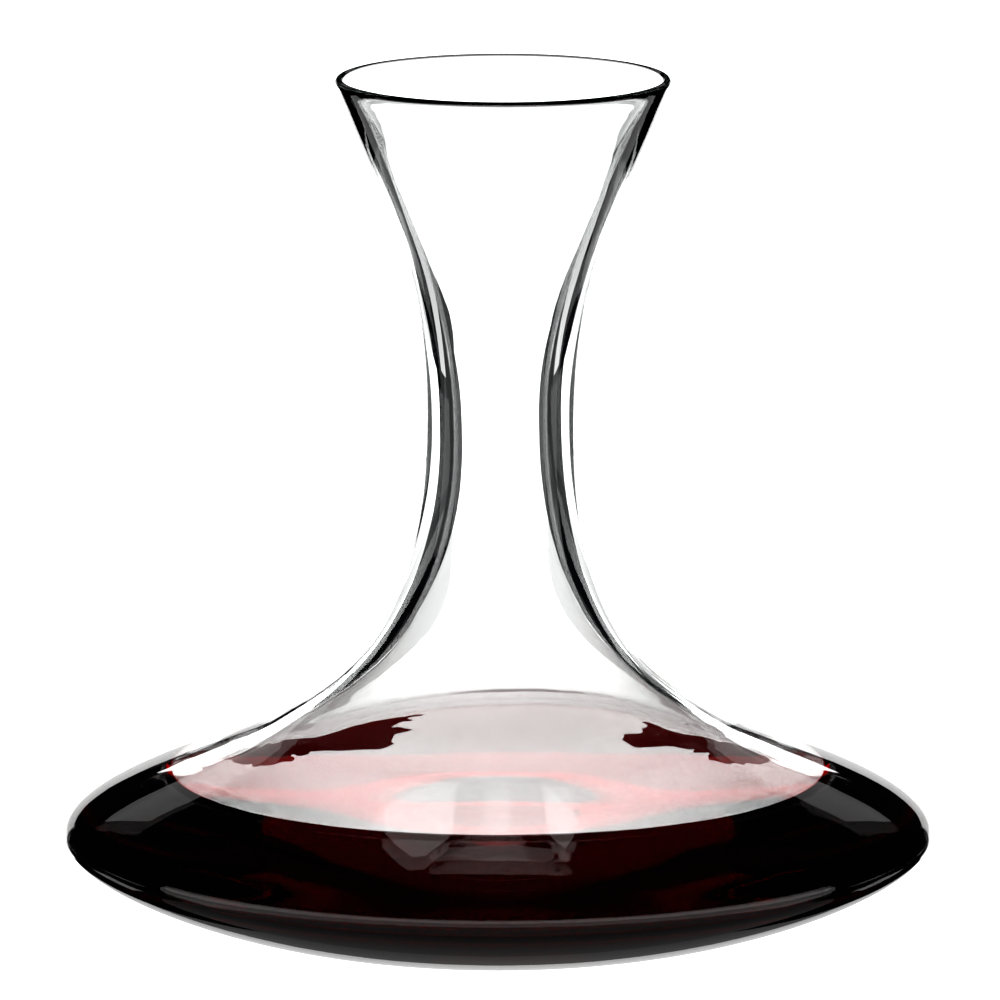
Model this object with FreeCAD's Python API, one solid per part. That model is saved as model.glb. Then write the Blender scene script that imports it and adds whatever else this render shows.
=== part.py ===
"""A mouth-blown wine decanter for one bottle of red wine.

The vessel is one wall of clear glass: a shallow foot, a wide low bowl, a shoulder that sweeps up
into a narrow neck, and a flared lip. The wine is the second solid and fills the bowl up to its
level. Both are turned about Z. The origin is the centre of the foot, on the table, and +Z is up.
"""
import FreeCAD, Part
import math
import os

# Driving dimensions of the outside, in millimetres and degrees.
HEIGHT = 202.9            # table to the top of the lip
FOOT_OUTER_RADIUS = 33.4  # flat ring that the vessel stands on
FOOT_INNER_RADIUS = 29.4
BOWL_RADIUS = 102.2       # widest point of the bowl
BOWL_Z = 23.6
SHOULDER_RADIUS = 54.3    # where the bowl turns from crowned to hollow
SHOULDER_Z = 49.4
SHOULDER_SLOPE = 30.4     # rise of the wall there, towards the axis
NECK_RADIUS = 17.3        # narrowest point of the neck
NECK_Z = 121.5
LIP_RADIUS = 39.1
LIP_SLOPE = 68.7          # rise of the flare at the lip, away from the axis

# Wall thicknesses, square to the outside.
FLOOR_WALL = 3.9
BOWL_WALL = 2.7
SHOULDER_WALL = 3.2
NECK_WALL = 6.2
LIP_WALL = 2.0

PUNT_RISE = 2.2           # how far the middle of the base is pushed up
THROAT_LENGTH = 3.6       # straight bore at the narrowest point
WINE_Z = 37.1             # level of 750 ml of wine

# Reach of each curve's two handles, from the foot up to the lip. A longer reach keeps the wall
# nearer to the direction that it has at that end.
BELLY_REACH = (29.5, 7.9)
CROWN_REACH = (9.8, 13.4)
SWEEP_REACH = (21.7, 50.6)
FLARE_REACH = (37.6, 34.2)
INNER_BELLY_REACH = (31.6, 4.1)
INNER_CROWN_REACH = (7.0, 10.3)
INNER_SWEEP_REACH = (13.9, 52.2)
INNER_FLARE_REACH = (33.8, 7.4)
PUNT_REACH = (12.5, 10.7)

AXIS = FreeCAD.Vector(0, 0, 1)


def point(radius, z):
    return FreeCAD.Vector(radius, 0, z)


def heading(degrees):
    """Unit vector in the profile's plane, measured from outwards (0) to upwards (90)."""
    return point(math.cos(math.radians(degrees)), math.sin(math.radians(degrees)))


def curve(start, start_degrees, end, end_degrees, reach):
    """A cubic Bezier edge that leaves start and arrives at end in the given directions."""
    bezier = Part.BezierCurve()
    bezier.setPoles([
        start,
        start + heading(start_degrees) * reach[0],
        end - heading(end_degrees) * reach[1],
        end,
    ])
    return bezier.toShape()


def line(start, end):
    return Part.LineSegment(start, end).toShape()


def inside(place, degrees, wall):
    """The point one wall thickness to the left of the direction of travel."""
    return place + heading(degrees + 90) * wall


def turned(edges):
    face = Part.Face(Part.Wire(Part.__sortEdges__(edges)))
    return face.revolve(FreeCAD.Vector(), AXIS, 360)


# Directions of travel along the profile, from the foot up to the lip.
LEVEL = 0
UPRIGHT = 90
SHOULDER_HEADING = 180 - SHOULDER_SLOPE

# Places on the outside.
LIP_Z = HEIGHT - LIP_WALL / 2 * (1 + math.cos(math.radians(LIP_SLOPE)))
FOOT = point(FOOT_OUTER_RADIUS, 0)
BOWL = point(BOWL_RADIUS, BOWL_Z)
SHOULDER = point(SHOULDER_RADIUS, SHOULDER_Z)
NECK = point(NECK_RADIUS, NECK_Z)
LIP = point(LIP_RADIUS, LIP_Z)

# The same places on the inside.
PUNT_TOP = point(0, PUNT_RISE)
FLOOR_CENTRE = point(0, PUNT_RISE + FLOOR_WALL)
FLOOR_EDGE = inside(FOOT, LEVEL, FLOOR_WALL)
BOWL_IN = inside(BOWL, UPRIGHT, BOWL_WALL)
SHOULDER_IN = inside(SHOULDER, SHOULDER_HEADING, SHOULDER_WALL)
NECK_IN = inside(NECK, UPRIGHT, NECK_WALL)
THROAT_LOW = NECK_IN - AXIS * (THROAT_LENGTH / 2)
THROAT_HIGH = NECK_IN + AXIS * (THROAT_LENGTH / 2)
LIP_IN = inside(LIP, LIP_SLOPE, LIP_WALL)
LIP_TIP = inside(LIP, LIP_SLOPE, LIP_WALL / 2) + heading(LIP_SLOPE) * (LIP_WALL / 2)


def outer_edges():
    """The outside, from the middle of the base to the lip."""
    foot_inner = point(FOOT_INNER_RADIUS, 0)
    return [
        curve(PUNT_TOP, LEVEL, foot_inner, LEVEL, PUNT_REACH),
        line(foot_inner, FOOT),
        curve(FOOT, LEVEL, BOWL, UPRIGHT, BELLY_REACH),
        curve(BOWL, UPRIGHT, SHOULDER, SHOULDER_HEADING, CROWN_REACH),
        curve(SHOULDER, SHOULDER_HEADING, NECK, UPRIGHT, SWEEP_REACH),
        curve(NECK, UPRIGHT, LIP, LIP_SLOPE, FLARE_REACH),
    ]


def inner_edges():
    """The inside, from the middle of the floor to the lip."""
    return [
        curve(FLOOR_CENTRE, LEVEL, FLOOR_EDGE, LEVEL, PUNT_REACH),
        curve(FLOOR_EDGE, LEVEL, BOWL_IN, UPRIGHT, INNER_BELLY_REACH),
        curve(BOWL_IN, UPRIGHT, SHOULDER_IN, SHOULDER_HEADING, INNER_CROWN_REACH),
        curve(SHOULDER_IN, SHOULDER_HEADING, THROAT_LOW, UPRIGHT, INNER_SWEEP_REACH),
        line(THROAT_LOW, THROAT_HIGH),
        curve(THROAT_HIGH, UPRIGHT, LIP_IN, LIP_SLOPE, INNER_FLARE_REACH),
    ]


def glass_vessel():
    """The whole glass: outside, round lip, inside, and the thickness of the floor on the axis."""
    lip = Part.Arc(LIP, LIP_TIP, LIP_IN).toShape()
    core = line(FLOOR_CENTRE, PUNT_TOP)
    return turned(outer_edges() + [lip] + inner_edges() + [core])


def red_wine():
    """The cavity of the bowl, cut off level at the wine's surface."""
    top = point(0, LIP_IN.z)
    cavity = turned(inner_edges() + [line(LIP_IN, top), line(top, FLOOR_CENTRE)])
    below_level = Part.makeCylinder(BOWL_RADIUS, WINE_Z)
    return cavity.common(below_level)


os.makedirs("parts", exist_ok=True)
for name, shape in (("glass_vessel", glass_vessel()), ("red_wine", red_wine())):
    solid = shape.Solids[0]
    print(name, "valid", solid.isValid(), "volume", round(solid.Volume / 1000, 1), "ml")
    solid.exportStep(f"parts/{name}.step")
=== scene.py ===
"""A mouth-blown wine decanter holding a bottle of red wine, on a white table in a photo studio."""
import math

import bmesh
import bpy
import numpy as np
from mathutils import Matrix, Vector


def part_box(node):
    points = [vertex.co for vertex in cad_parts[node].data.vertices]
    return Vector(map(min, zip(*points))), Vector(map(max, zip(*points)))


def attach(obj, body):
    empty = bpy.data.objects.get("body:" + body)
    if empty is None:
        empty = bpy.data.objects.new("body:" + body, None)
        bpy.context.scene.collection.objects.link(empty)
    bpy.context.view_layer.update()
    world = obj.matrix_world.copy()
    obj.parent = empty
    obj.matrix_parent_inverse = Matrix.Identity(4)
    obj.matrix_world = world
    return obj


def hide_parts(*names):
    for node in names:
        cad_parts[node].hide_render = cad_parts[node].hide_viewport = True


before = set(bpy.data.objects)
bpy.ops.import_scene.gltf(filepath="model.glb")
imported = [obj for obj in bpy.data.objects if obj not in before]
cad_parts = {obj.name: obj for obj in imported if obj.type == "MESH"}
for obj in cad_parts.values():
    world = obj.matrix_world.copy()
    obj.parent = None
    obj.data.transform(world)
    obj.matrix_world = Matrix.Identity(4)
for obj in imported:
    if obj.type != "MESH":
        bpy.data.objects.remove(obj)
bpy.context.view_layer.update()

# ------------------------------------------------------------------ sizes, in metres and degrees

SEGMENTS = 320                # round the axis
GLASS_RINGS = 290
RING_LENGTH = 0.0030          # this much straight wall takes up as much of the rings
RING_TURN = math.radians(8)   # as this much of a bend
FINE_PER_RING = 20            # points of the fine profile that the rings are picked from

OVERLAP = 0.00008             # the wine reaches this far into the glass, so no film of air shows
MENISCUS_RISE = 0.0011
MENISCUS_REACH = 0.0016
SURFACE_RINGS = 40
RIPPLE = 0.00005              # of the glass's skin, in patches a few centimetres across
TINY = 1e-6

# Hand-blown unevenness of the inside: how often it turns round the vessel, its length along the
# height, its depth, and the side that it faces. The first wave carries the bore to one side above
# the waist of the neck and to the other below it.
EVEN_BELOW = 0.0396           # the wine's level is below this
GROWS_OVER = 0.027            # of height, above that
EVEN_NEAR_LIP = 0.055
LEAN = 0.0012                 # the lip stands this far off the bowl's axis, towards +X
WAVES = (
    (1, 0.169, 0.00030, 0),
    (2, 0.076, 0.00008, 50),
    (3, 0.053, 0.00004, 130),
)

CAMERA_DISTANCE = 2.848
CAMERA_HEIGHT = 0.6297
CAMERA_PITCH = 10.48          # looking down
CAMERA_LENS = 445.2           # mm
CAMERA_SENSOR = 36            # mm
CAMERA_ASIDE = 0.0005         # to the right of the vessel's axis

TABLE_DROP = 0.0003           # keeps the table's top clear of the foot
ROOM_RADIUS = 4.5
ROOM_HEIGHT = 3.0
ROOM_GLOW = 1.6
STUDIO_DARK = (0.004, 0.004, 0.005)
MIDDLE = 0.0001               # the floor's inner edge, under the foot

# A small upright sheet close behind, which the wine's surface mirrors.
REFLECTOR_HALF_WIDTH = 0.145
REFLECTOR_DISTANCE = 0.35
REFLECTOR_HEIGHTS = (0.10, 0.15)
REFLECTOR_GLOW = 2.2

# The camera sees a white room. Glass and wine see these bright cards in a dark studio instead.
# Each has the compass angle of its middle, from +Y towards -X, half its width, its lowest and
# highest elevation, and its brightness. The first five light the view from the front. The others
# keep the glass clear from other sides. The gaps between the backdrop and the surround stay dark,
# because the dark edges of the neck show them in the front view. From azimuths of about 22 to 82
# and 278 to 338 the glass is therefore black, except where a corner card stands behind it.
CARD_DISTANCE = 4.0
CARD_ROWS = 12
FACET = 2                     # each face of a card or of the room spans this much of the compass
CARDS = {
    "backdrop": (0, 22, -17, -3, 1.35),
    "upper_backdrop": (0, 22, 18, 27, 0.3),
    "window": (2, 12, 40, 60, 0.6),
    # painted shade: these table cards glow dimmer than the backdrop behind, near and under the
    # vessel, standing in for the vessel's shadow on the table
    "shaded_table_behind": (0, 14, -28, -17, 0.65),
    "shaded_table_near": (0, 14, -40, -28, 0.16),
    "far_wall": (0, 22, -3, 5, 0.8),
    "surround": (180, 98, -40, 8, 0.7),
    "corner_table_left": (46, 7, -34, -19, 0.6),
    "corner_table_right": (-46, 7, -34, -19, 0.6),
    # painted shadow: a dim glow for the table right under the vessel
    "shaded_table_under": (180, 180, -90, -40, 0.12),
}


# ------------------------------------------------------------------ looks

CRYSTAL_IOR = 1.52
CRYSTAL_TINT = (0.80, 0.93, 0.88)     # the colour that light takes on inside,
CRYSTAL_DENSITY = 5.6                 # and how strongly, per metre
CRYSTAL_PATCHES = 38                  # a larger number drifts between pale and deep more often
CRYSTAL_PALE = (1, 1, 1)
CRYSTAL_DEEP = (0.975, 0.99, 0.985)

WINE_IOR = 1.345
WINE_TINT = (0.88, 0.3, 0.25)
WINE_DENSITY = 180
WINE_PATCHES = 24
WINE_PALE = (1, 0.97, 0.96)
WINE_DEEP = (1, 0.9, 0.88)

PATCH_DETAIL = 3
PATCH_EDGES = (0.35, 0.65)            # of the noise: deep below the first, pale above the second

BOUNCES = 32
GLOSSY_BOUNCES = 16


# ------------------------------------------------------------------ profiles: rows of (radius, z)

def seam(node):
    """A turned CAD node's own profile, from the middle of its underside onwards."""
    mesh = bmesh.new()
    mesh.from_mesh(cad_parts[node].data)
    bmesh.ops.remove_doubles(mesh, verts=mesh.verts, dist=TINY)
    on_seam = {v for v in mesh.verts if abs(v.co.y) < TINY and v.co.x > -TINY}
    links = {v: [] for v in on_seam}
    for edge in mesh.edges:
        a, b = edge.verts
        if a in on_seam and b in on_seam:
            links[a].append(b)
            links[b].append(a)
    here = min((v for v in on_seam if v.co.x < TINY), key=lambda v: v.co.z)
    before, chain = None, []
    while here is not None:
        chain.append((max(here.co.x, 0.0), here.co.z))
        onward = [v for v in links[here] if v is not before]
        before, here = here, (onward[0] if onward else None)
    mesh.free()
    return np.array(chain)


def along(points):
    """The distance along a profile to each of its points."""
    return np.r_[0, np.cumsum(np.linalg.norm(np.diff(points, axis=0), axis=1))]


def spline(points, places):
    """The points at the given distances on a smooth curve through a profile's points."""
    s = along(points)
    slopes = np.gradient(points, s, axis=0)
    i = np.clip(np.searchsorted(s, places, side="right") - 1, 0, len(s) - 2)
    span = (s[i + 1] - s[i])[:, None]
    t = (places - s[i])[:, None] / span
    return (
        points[i] * (1 + 2 * t) * (1 - t) ** 2
        + slopes[i] * span * t * (1 - t) ** 2
        + points[i + 1] * t ** 2 * (3 - 2 * t)
        + slopes[i + 1] * span * t ** 2 * (t - 1)
    )


def spaced(points, rings):
    """A profile resampled with its rings close together on the bends and wide apart elsewhere."""
    fine = spline(points, np.linspace(0, along(points)[-1], FINE_PER_RING * rings))
    steps = np.diff(fine, axis=0)
    turns = np.abs(np.diff(np.unwrap(np.arctan2(steps[:, 1], steps[:, 0]))))
    effort = np.linalg.norm(steps, axis=1) / RING_LENGTH + np.r_[turns, 0] / RING_TURN
    total = np.r_[0, np.cumsum(effort)]
    places = np.interp(np.linspace(0, total[-1], rings), total, along(fine))
    profile = spline(fine, places)
    profile[:, 0] = np.maximum(profile[:, 0], 0)
    return profile


def outward(points):
    """Unit normals on the right of a profile's direction of travel."""
    d = np.gradient(points, axis=0)
    normals = np.c_[d[:, 1], -d[:, 0]]
    return normals / np.linalg.norm(normals, axis=1)[:, None]


def ease(x, start, end):
    t = np.clip((x - start) / (end - start), 0, 1)
    return t * t * (3 - 2 * t)


def unevenness(z, angle):
    """How far the inside stands proud of its even shape, at heights z and at angles round Z."""
    depth = 0
    for turns, length, size, facing in WAVES:
        height_wave = np.sin(2 * math.pi * (z - WAIST_Z) / length)
        depth = depth + size * height_wave * np.cos(turns * (angle - math.radians(facing)))
    return depth * ease(z, EVEN_BELOW, EVEN_BELOW + GROWS_OVER) * (
        1 - ease(z, LIP_Z - EVEN_NEAR_LIP, LIP_Z)
    )


# ------------------------------------------------------------------ meshes

def link(name, data):
    obj = bpy.data.objects.new(name, data)
    bpy.context.scene.collection.objects.link(obj)
    return obj


def lathe(name, points, depths=None):
    """A closed turned mesh. depths holds how far each ring's points lie out along its normal."""
    rings, normals = points[1:-1], outward(points)[1:-1]
    angle = np.linspace(0, 2 * math.pi, SEGMENTS, endpoint=False)
    depth = np.zeros((len(rings), SEGMENTS)) if depths is None else depths[1:-1]
    r = rings[:, :1] + normals[:, :1] * depth
    z = rings[:, 1:] + normals[:, 1:] * depth
    lean = LEAN * ease(z, EVEN_BELOW, LIP_Z)
    grid = np.stack([r * np.cos(angle) + lean, r * np.sin(angle), z], axis=-1).reshape(-1, 3)
    low_end, high_end = len(grid), len(grid) + 1
    top = (len(rings) - 1) * SEGMENTS
    faces = []
    for j in range(SEGMENTS):
        k = (j + 1) % SEGMENTS
        faces.append((low_end, k, j))
        for a in range(0, top, SEGMENTS):
            b = a + SEGMENTS
            faces.append((a + j, a + k, b + k, b + j))
        faces.append((high_end, top + j, top + k))
    mesh = bpy.data.meshes.new(name)
    ends = [(0, 0, points[0, 1]), (0, 0, points[-1, 1])]
    mesh.from_pydata(grid.tolist() + ends, [], faces)
    mesh.shade_smooth()
    return link(name, mesh)


def glass_piece():
    """The vessel, with the CAD profile outside and hand-blown unevenness inside."""
    angle = np.linspace(0, 2 * math.pi, SEGMENTS, endpoint=False)
    depths = unevenness(GLASS[:, 1:], angle[None, :])
    depths[: LIP + 1] = 0
    return lathe("decanter_glass", GLASS, depths)


def wine_piece():
    """The wine: it wets the glass, and its surface climbs a little where the two meet."""
    inside = GLASS[LIP:][::-1]
    climb = inside[: np.searchsorted(inside[:, 1], WINE_Z + MENISCUS_RISE)]
    wall = climb + outward(climb) * OVERLAP
    reach = np.linspace(0, 1, SURFACE_RINGS)[1:] ** 2 * wall[-1, 0]
    rise = wall[-1, 1] - WINE_Z
    surface = np.c_[wall[-1, 0] - reach, WINE_Z + rise * np.exp(-reach / MENISCUS_REACH)]
    return lathe("red_wine_body", np.r_[wall, surface])


# ------------------------------------------------------------------ materials

def material(name, **sockets):
    """A new material with a Principled shader, and its node tree and shader."""
    made = bpy.data.materials.new(name)
    made.use_nodes = True
    shader = made.node_tree.nodes["Principled BSDF"]
    for socket, value in sockets.items():
        shader.inputs[socket.replace("_", " ")].default_value = value
    return made, made.node_tree, shader


def absorbing(tree, color, density):
    """Light fades on its way through the piece, and takes on its colour."""
    volume = tree.nodes.new("ShaderNodeVolumeAbsorption")
    volume.inputs["Color"].default_value = (*color, 1)
    volume.inputs["Density"].default_value = density
    tree.links.new(volume.outputs["Volume"], tree.nodes["Material Output"].inputs["Volume"])


def clouded(tree, shader, scale, pale, deep):
    """The surface's colour drifts between two tints in soft patches."""
    place = tree.nodes.new("ShaderNodeTexCoord")
    noise = tree.nodes.new("ShaderNodeTexNoise")
    noise.inputs["Scale"].default_value = scale
    noise.inputs["Detail"].default_value = PATCH_DETAIL
    ramp = tree.nodes.new("ShaderNodeValToRGB")
    for end, edge, color in zip(ramp.color_ramp.elements, PATCH_EDGES, (deep, pale)):
        end.position = edge
        end.color = (*color, 1)
    tree.links.new(place.outputs["Object"], noise.inputs["Vector"])
    tree.links.new(noise.outputs["Fac"], ramp.inputs["Fac"])
    tree.links.new(ramp.outputs["Color"], shader.inputs["Base Color"])
    return noise


def rippled(tree, shader, noise, height):
    """The same patches stand proud of the surface by up to a height."""
    bump = tree.nodes.new("ShaderNodeBump")
    bump.inputs["Distance"].default_value = height
    tree.links.new(noise.outputs["Fac"], bump.inputs["Height"])
    tree.links.new(bump.outputs["Normal"], shader.inputs["Normal"])


def crystal():
    made, tree, shader = material(
        "clear_crystal", Transmission_Weight=1, Roughness=0.0, IOR=CRYSTAL_IOR
    )
    noise = clouded(tree, shader, CRYSTAL_PATCHES, CRYSTAL_PALE, CRYSTAL_DEEP)
    rippled(tree, shader, noise, RIPPLE)
    absorbing(tree, CRYSTAL_TINT, CRYSTAL_DENSITY)
    return made


def wine():
    made, tree, shader = material(
        "red_wine", Transmission_Weight=1, Roughness=0.0, IOR=WINE_IOR
    )
    clouded(tree, shader, WINE_PATCHES, WINE_PALE, WINE_DEEP)
    absorbing(tree, WINE_TINT, WINE_DENSITY)
    return made


def glowing(name, strength):
    """A plain white glow, which mirrors nothing."""
    made, _, shader = material(name, Roughness=1)
    shader.inputs["Base Color"].default_value = (0, 0, 0, 1)
    shader.inputs["Specular IOR Level"].default_value = 0
    shader.inputs["Emission Color"].default_value = (1, 1, 1, 1)
    shader.inputs["Emission Strength"].default_value = strength
    return made


# ------------------------------------------------------------------ studio

def ring_wall(name, radii_and_heights, start=0.0, end=360.0):
    """A turned sheet round Z, between two compass angles counted from +Y towards -X."""
    count = int((end - start) / FACET)
    angles = np.radians(np.linspace(start, end, count + 1))
    verts = [
        (-r * math.sin(a), r * math.cos(a), z) for r, z in radii_and_heights for a in angles
    ]
    row = count + 1
    faces = [
        (i * row + j, i * row + j + 1, (i + 1) * row + j + 1, (i + 1) * row + j)
        for i in range(len(radii_and_heights) - 1)
        for j in range(count)
    ]
    mesh = bpy.data.meshes.new(name)
    mesh.from_pydata(verts, [], faces)
    mesh.shade_smooth()
    obj = link(name, mesh)
    return obj


def seen_by(obj, camera, glass):
    """Which rays meet a studio surface: the camera's own, and those that glass bends or mirrors."""
    obj.visible_camera = camera
    obj.visible_diffuse = camera
    obj.visible_transmission = glass
    obj.visible_glossy = glass
    obj.visible_shadow = False


def card(name, facing, half_width, low, high, strength):
    """A glowing patch of a sphere round the vessel, which only glass and wine see."""
    rows = [math.radians(low + (high - low) * i / CARD_ROWS) for i in range(CARD_ROWS + 1)]
    made = ring_wall(
        name,
        [(CARD_DISTANCE * math.cos(e), CARD_DISTANCE * math.sin(e)) for e in rows],
        facing - half_width,
        facing + half_width,
    )
    made.data.materials.append(glowing(name, strength))
    seen_by(made, camera=False, glass=True)


def reflector():
    """A small upright sheet, whose light the wine's surface mirrors to the front."""
    x, y = REFLECTOR_HALF_WIDTH, REFLECTOR_DISTANCE
    low, high = REFLECTOR_HEIGHTS
    mesh = bpy.data.meshes.new("reflector")
    mesh.from_pydata([(-x, y, low), (x, y, low), (x, y, high), (-x, y, high)], [], [(0, 1, 2, 3)])
    mesh.materials.append(glowing("reflector", REFLECTOR_GLOW))
    made = link("reflector", mesh)
    seen_by(made, camera=False, glass=True)


def studio():
    room = ring_wall(
        "room", [(MIDDLE, -TABLE_DROP), (ROOM_RADIUS, -TABLE_DROP), (ROOM_RADIUS, ROOM_HEIGHT)]
    )
    room.data.materials.append(glowing("studio_white", ROOM_GLOW))
    seen_by(room, camera=True, glass=False)
    for name, place in CARDS.items():
        card(name, *place)
    reflector()
    world = bpy.data.worlds.new("studio")
    world.use_nodes = True
    world.node_tree.nodes["Background"].inputs["Color"].default_value = (*STUDIO_DARK, 1)
    bpy.context.scene.world = world


def camera():
    data = bpy.data.cameras.new("camera")
    data.lens = CAMERA_LENS
    data.sensor_width = CAMERA_SENSOR
    obj = link("camera", data)
    obj.location = (CAMERA_ASIDE, -CAMERA_DISTANCE, CAMERA_HEIGHT)
    obj.rotation_euler = (math.radians(90 - CAMERA_PITCH), 0, 0)
    bpy.context.scene.camera = obj


def picture():
    scene = bpy.context.scene
    scene.view_settings.view_transform = "Standard"
    scene.view_settings.look = "High Contrast"
    scene.cycles.max_bounces = BOUNCES
    scene.cycles.transmission_bounces = BOUNCES
    scene.cycles.glossy_bounces = GLOSSY_BOUNCES


# ------------------------------------------------------------------ the decanter

GLASS = spaced(seam("glass_vessel"), GLASS_RINGS)
LIP = int(np.argmax(GLASS[:, 1]))
LIP_Z = GLASS[LIP, 1]
NECK = GLASS[:LIP][GLASS[:LIP, 1] > LIP_Z / 3]
WAIST_Z = NECK[np.argmin(NECK[:, 0]), 1]
WINE_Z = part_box("red_wine")[1].z

for piece, node, look, slot in (
    (glass_piece(), "glass_vessel", crystal(), "glass"),
    (wine_piece(), "red_wine", wine(), "wine"),
):
    piece.data.materials.append(look)
    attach(piece, "root")
    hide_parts(node)

studio()
camera()
picture()
